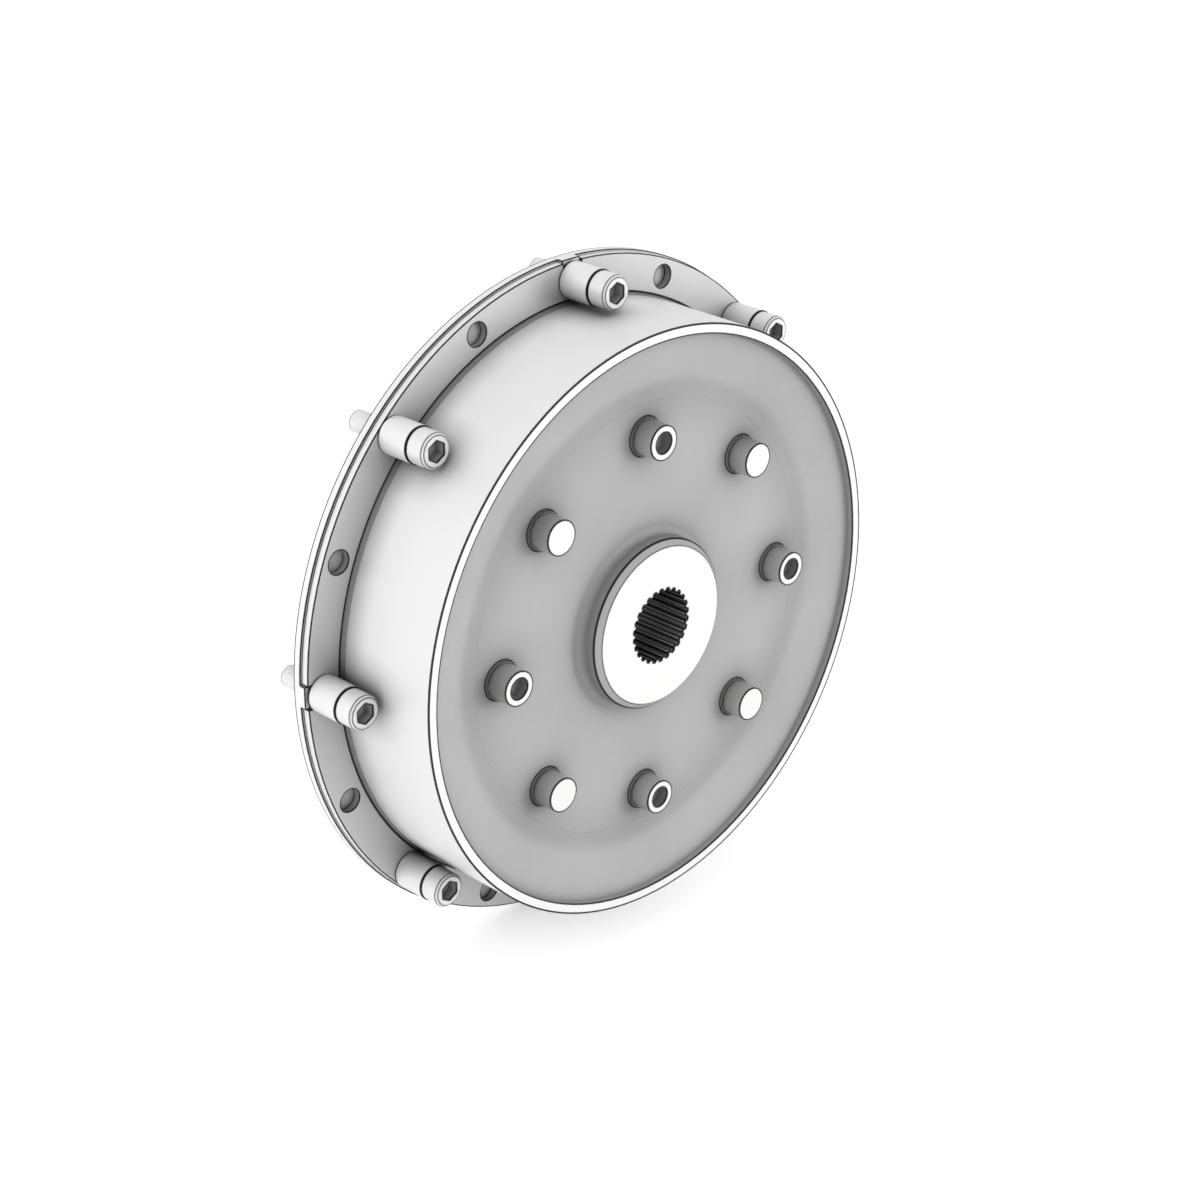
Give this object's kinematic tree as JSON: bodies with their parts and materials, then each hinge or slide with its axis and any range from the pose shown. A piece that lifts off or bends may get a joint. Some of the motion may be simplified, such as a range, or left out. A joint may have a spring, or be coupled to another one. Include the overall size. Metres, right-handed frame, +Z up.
{
  "type": "flexible shaft coupling",
  "caption": "Flywheel-mounted flexible shaft coupling: screwed flange with spacers, drum with a bonded rubber element, and a pinned hub disc with a splined bore",
  "frame": {"origin": "on the shaft axis, in the plane of the flange plate's rear face, which seats on the flywheel", "axes": "+X along the shaft axis from the flywheel towards the hub face, +Z up, +Y completes the right-handed frame; one flange screw stands on +Y and one on +Z"},
  "size_m": [0.0787, 0.3143, 0.3142],
  "materials": {
    "flange_steel": "fine turned, pale zinc plated",
    "drum_steel": "smooth turned, pale zinc plated",
    "hub_steel": "fine faced steel",
    "pin_steel": "ground steel",
    "sleeve_steel": "turned steel, duller",
    "spacer_steel": "turned steel tube",
    "screw_steel": "bright zinc plated",
    "rubber": "smooth moulded grey rubber, matt"
  },
  "bodies": {
    "housing": {"flange_plate": "flange_steel", "clamp_ring": "flange_steel", "drum_shell": "drum_steel", "rubber_element": "rubber", "spacer_1": "spacer_steel", "socket_screw_1": "screw_steel", "spacer_2": "spacer_steel", "socket_screw_2": "screw_steel", "spacer_3": "spacer_steel", "socket_screw_3": "screw_steel", "spacer_4": "spacer_steel", "socket_screw_4": "screw_steel", "spacer_5": "spacer_steel", "socket_screw_5": "screw_steel", "spacer_6": "spacer_steel", "socket_screw_6": "screw_steel", "spacer_7": "spacer_steel", "socket_screw_7": "screw_steel", "spacer_8": "spacer_steel", "socket_screw_8": "screw_steel"},
    "hub": {"splined_hub": "hub_steel", "hub_disc": "drum_steel", "inner_band": "drum_steel", "rubber_web": "rubber", "pin_sleeve_1": "sleeve_steel", "pin_sleeve_2": "sleeve_steel", "pin_sleeve_3": "sleeve_steel", "pin_sleeve_4": "sleeve_steel", "pin_sleeve_5": "sleeve_steel", "pin_sleeve_6": "sleeve_steel", "pin_sleeve_7": "sleeve_steel", "pin_sleeve_8": "sleeve_steel", "drilled_pin_1": "pin_steel", "solid_pin_1": "pin_steel", "drilled_pin_2": "pin_steel", "solid_pin_2": "pin_steel", "drilled_pin_3": "pin_steel", "solid_pin_3": "pin_steel", "drilled_pin_4": "pin_steel", "solid_pin_4": "pin_steel"}
  },
  "joints": [
    {"name": "hub_twist", "type": "hinge", "parent": "housing", "child": "hub", "pos_m": [0.0356, 0, 0], "axis": [1, 0, 0], "range_deg": [-6, 6], "stiffness_Nm_per_rad": 2000, "deforming": ["rubber_element"]}
  ]
}
